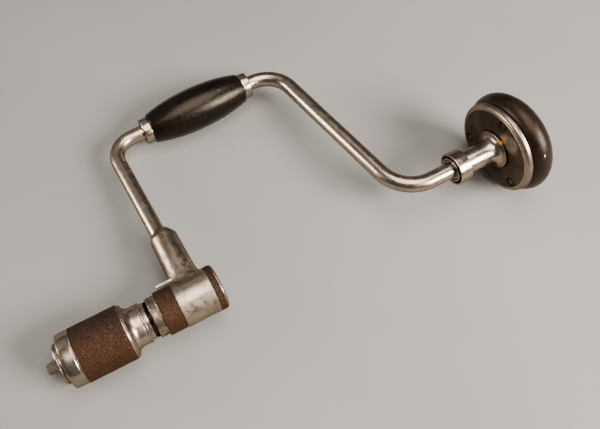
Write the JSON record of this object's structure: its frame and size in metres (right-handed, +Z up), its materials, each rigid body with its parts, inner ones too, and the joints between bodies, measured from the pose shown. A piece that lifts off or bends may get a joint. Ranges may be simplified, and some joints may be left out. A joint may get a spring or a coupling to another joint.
{
  "type": "ratcheting carpenter's brace",
  "caption": "Bent-crank hand drill with a turned head, a spinning handle, a ratchet with a selector ring and a knurled two-jaw chuck.",
  "frame": {"origin": "on the surface it lies on, under the middle of its footprint", "axes": "+X from chuck to head, along the footprint; +Y toward the handle; +Z up from the surface"},
  "size_m": [0.3194, 0.1728, 0.0633],
  "materials": {
    "dark_wood": "satin, dark stain worn at the edges",
    "plate_nickel": "worn nickel plate, softly brushed",
    "rod_nickel": "worn nickel plate with small pits",
    "cast_nickel": "pitted nickel plate",
    "ring_nickel": "polished nickel plate",
    "brown_steel": "knurled steel, brown patina",
    "screw_steel": "worn steel",
    "jaw_steel": "forged steel, light rust",
    "dark_steel": "oiled steel",
    "spring_steel": "bright steel"
  },
  "bodies": {
    "crank": {"crank_rod": "rod_nickel", "head_bearing_sleeve": "ring_nickel", "thrust_washer": "dark_steel", "thrust_nut": "dark_steel", "ratchet_frame": "cast_nickel", "crank_pin": "screw_steel", "rear_cap": "brown_steel", "pawl_pins": "dark_steel", "detent_ball": "spring_steel", "detent_spring": "spring_steel", "selector_pin": "screw_steel"},
    "head": {"head_knob": "dark_wood", "head_plate": "plate_nickel", "head_screws": "screw_steel", "head_quill": "plate_nickel", "head_collar": "plate_nickel", "thrust_balls": "spring_steel"},
    "handle": {"handle_barrel": "dark_wood", "handle_ring_left": "ring_nickel", "handle_ring_right": "ring_nickel"},
    "selector": {"selector_ring": "brown_steel", "selector_plate": "cast_nickel"},
    "pawl_forward": {"pawl_forward": "dark_steel"},
    "pawl_reverse": {"pawl_reverse": "dark_steel"},
    "spindle": {"spindle": "dark_steel", "ratchet_wheel": "dark_steel", "spindle_washer": "dark_steel", "spindle_nut": "dark_steel", "jaw_spring": "spring_steel"},
    "nose": {"nose_ring": "cast_nickel", "nose_balls": "spring_steel"},
    "sleeve": {"chuck_sleeve": "cast_nickel"},
    "jaw_upper": {"jaw_upper": "jaw_steel"},
    "jaw_lower": {"jaw_lower": "jaw_steel"}
  },
  "joints": [
    {"name": "head_spin", "type": "hinge", "parent": "crank", "child": "head", "pos_m": [0.14512, -0.05484, 0.03177], "axis": [0.9986, 0, 0.0525], "continuous": true},
    {"name": "handle_spin", "type": "hinge", "parent": "crank", "child": "handle", "pos_m": [-0.0081, 0.07184, 0.01479], "axis": [0.9986, 0, 0.0525], "continuous": true},
    {"name": "spindle_ratchet", "type": "hinge", "parent": "crank", "child": "spindle", "pos_m": [-0.09544, -0.05484, 0.01913], "axis": [0.9986, 0, 0.0525], "continuous": true},
    {"name": "selector_turn", "type": "hinge", "parent": "crank", "child": "selector", "pos_m": [-0.08995, -0.05484, 0.01942], "axis": [0.9986, 0, 0.0525], "range_deg": [-18, 18]},
    {"name": "pawl_forward_rock", "type": "hinge", "parent": "crank", "child": "pawl_forward", "pos_m": [-0.08466, -0.04793, 0.02593], "axis": [0.9986, 0, 0.0525], "range_deg": [-3.2, 3.2]},
    {"name": "pawl_reverse_rock", "type": "hinge", "parent": "crank", "child": "pawl_reverse", "pos_m": [-0.08396, -0.04887, 0.0126], "axis": [0.9986, 0, 0.0525], "range_deg": [-3.2, 3.2]},
    {"name": "nose_advance", "type": "slide", "parent": "spindle", "child": "nose", "axis": [-0.9986, 0, -0.0525], "range_m": [0, 0.005]},
    {"name": "sleeve_turn", "type": "hinge", "parent": "nose", "child": "sleeve", "pos_m": [-0.14098, -0.05484, 0.01674], "axis": [0.9986, 0, 0.0525], "range_deg": [0, 720]},
    {"name": "jaw_upper_open", "type": "slide", "parent": "spindle", "child": "jaw_upper", "axis": [-0.0522, -0.1041, 0.9932], "range_m": [0, 0.0018]},
    {"name": "jaw_lower_open", "type": "slide", "parent": "spindle", "child": "jaw_lower", "axis": [0.0522, 0.1041, -0.9932], "range_m": [0, 0.0018]}
  ],
  "couplings": [
    {"joint": "pawl_forward_rock", "follows": "selector_turn", "ratio": 0.16667},
    {"joint": "pawl_reverse_rock", "follows": "selector_turn", "ratio": 0.16667},
    {"joint": "sleeve_turn", "follows": "nose_advance", "rad_per_m": 2513},
    {"joint": "jaw_upper_open", "follows": "nose_advance", "ratio": 0.36},
    {"joint": "jaw_lower_open", "follows": "nose_advance", "ratio": 0.36}
  ]
}
